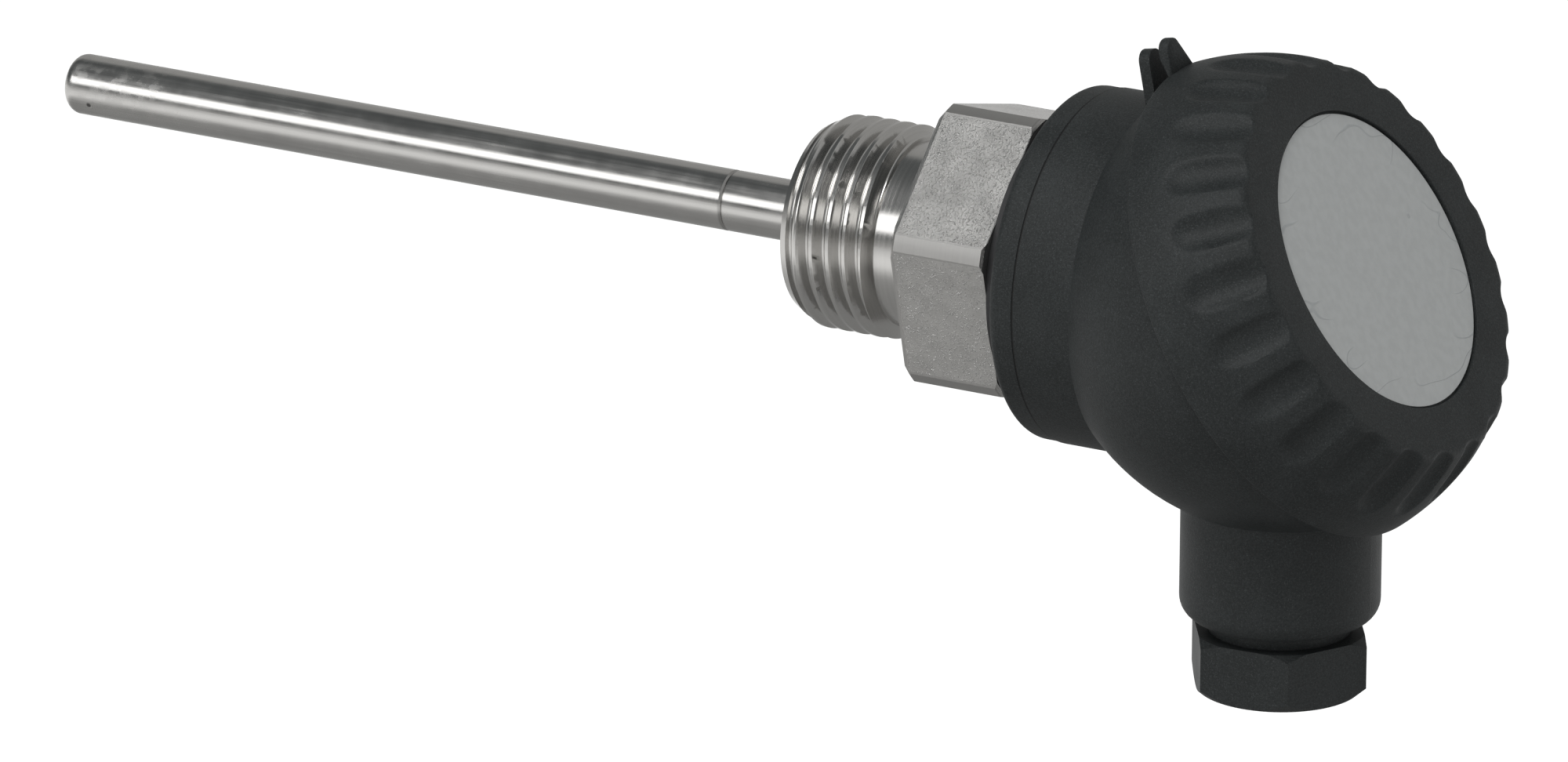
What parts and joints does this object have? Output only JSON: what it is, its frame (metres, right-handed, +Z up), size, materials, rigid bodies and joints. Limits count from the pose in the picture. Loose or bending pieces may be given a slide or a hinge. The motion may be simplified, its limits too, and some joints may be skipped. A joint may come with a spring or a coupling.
{
  "type": "immersion temperature probe with connection head",
  "caption": "Slim closed steel sheath on a hexagon pipe-thread fitting, with a ball-shaped plastic connection head that has a fluted screw cap, a cable gland and terminals inside.",
  "frame": {"origin": "centre of the sealing face of the hexagon, on the probe axis, where the fitting meets the pipe or vessel", "axes": "+X along the probe axis from the tip towards the head, +Z up, away from the cable gland, +Y completes the right-handed frame"},
  "size_m": [0.1551, 0.0486, 0.0636],
  "materials": {
    "sheath_steel": "drawn stainless tube, brushed along its length",
    "fitting_steel": "turned and milled stainless, fine scratches on the flats",
    "gasket_rubber": "smooth black sealing rubber",
    "head_plastic": "moulded charcoal plastic with a fine grain",
    "label_film": "bare light grey film",
    "gland_plastic": "smooth moulded charcoal plastic",
    "nut_steel": "zinc-plated steel",
    "ceramic": "off-white glazed ceramic",
    "terminal_brass": "bare machined brass",
    "screw_steel": "zinc-plated small screws and plates",
    "lead_insulation": "off-white glass-silk insulation",
    "potting_resin": "dark potting resin",
    "heat_paste": "pale heat-conducting filling",
    "chip_ceramic": "white ceramic chip with a glassy bead",
    "sleeve_fibre": "woven insulating sleeve"
  },
  "bodies": {
    "probe": {"sheath_tube": "sheath_steel", "sensing_chip": "chip_ceramic", "chip_sleeve": "sleeve_fibre", "heat_filling": "heat_paste", "lead_wire_a": "lead_insulation", "lead_wire_b": "lead_insulation", "sheath_potting": "potting_resin", "process_fitting": "fitting_steel", "base_gasket": "gasket_rubber", "collar_ring": "head_plastic", "housing": "head_plastic", "lock_washer": "nut_steel", "lock_nut": "nut_steel", "terminal_block": "ceramic", "terminal_bar_a": "terminal_brass", "terminal_bar_b": "terminal_brass", "block_screw_a": "screw_steel", "block_screw_b": "screw_steel", "gland_seal": "gasket_rubber"},
    "cap_carrier": {"cap_gasket": "gasket_rubber"},
    "cap": {"screw_cap": "head_plastic", "label_disc": "label_film"},
    "gland_carrier": {"slip_washer": "gland_plastic"},
    "gland_screw": {"pressure_screw": "gland_plastic"},
    "clamp_carrier_a": {"clamp_plate_a": "screw_steel"},
    "clamp_carrier_b": {"clamp_plate_b": "screw_steel"},
    "clamp_turner_a": {"clamp_screw_a": "screw_steel"},
    "clamp_turner_b": {"clamp_screw_b": "screw_steel"}
  },
  "joints": [
    {"name": "cap_lift", "type": "slide", "parent": "probe", "child": "cap_carrier", "axis": [0.866, 0, 0.5], "range_m": [0, 0.006]},
    {"name": "cap_turn", "type": "hinge", "parent": "cap_carrier", "child": "cap", "pos_m": [0.04106, 0, 0.0035], "axis": [0.866, 0, 0.5], "range_deg": [0, 720]},
    {"name": "gland_travel", "type": "slide", "parent": "probe", "child": "gland_carrier", "axis": [0, 0, -1], "range_m": [0, 0.00423]},
    {"name": "gland_turn", "type": "hinge", "parent": "gland_carrier", "child": "gland_screw", "pos_m": [0.035, 0, -0.03], "axis": [0, 0, -1], "range_deg": [0, 1080]},
    {"name": "clamp_lift_a", "type": "slide", "parent": "probe", "child": "clamp_carrier_a", "axis": [0.866, 0, 0.5], "range_m": [-0.00025, 0.001]},
    {"name": "clamp_turn_a", "type": "hinge", "parent": "clamp_carrier_a", "child": "clamp_turner_a", "pos_m": [0.03875, -0.005, -0.00419], "axis": [0.866, 0, 0.5], "range_deg": [-180, 720]},
    {"name": "clamp_lift_b", "type": "slide", "parent": "probe", "child": "clamp_carrier_b", "axis": [0.866, 0, 0.5], "range_m": [-0.00025, 0.001]},
    {"name": "clamp_turn_b", "type": "hinge", "parent": "clamp_carrier_b", "child": "clamp_turner_b", "pos_m": [0.03875, 0.005, -0.00419], "axis": [0.866, 0, 0.5], "range_deg": [-180, 720]}
  ],
  "couplings": [
    {"joint": "cap_turn", "follows": "cap_lift", "rad_per_m": 2094.4},
    {"joint": "gland_turn", "follows": "gland_travel", "rad_per_m": 4456.2},
    {"joint": "clamp_turn_a", "follows": "clamp_lift_a", "rad_per_m": 12566},
    {"joint": "clamp_turn_b", "follows": "clamp_lift_b", "rad_per_m": 12566}
  ]
}
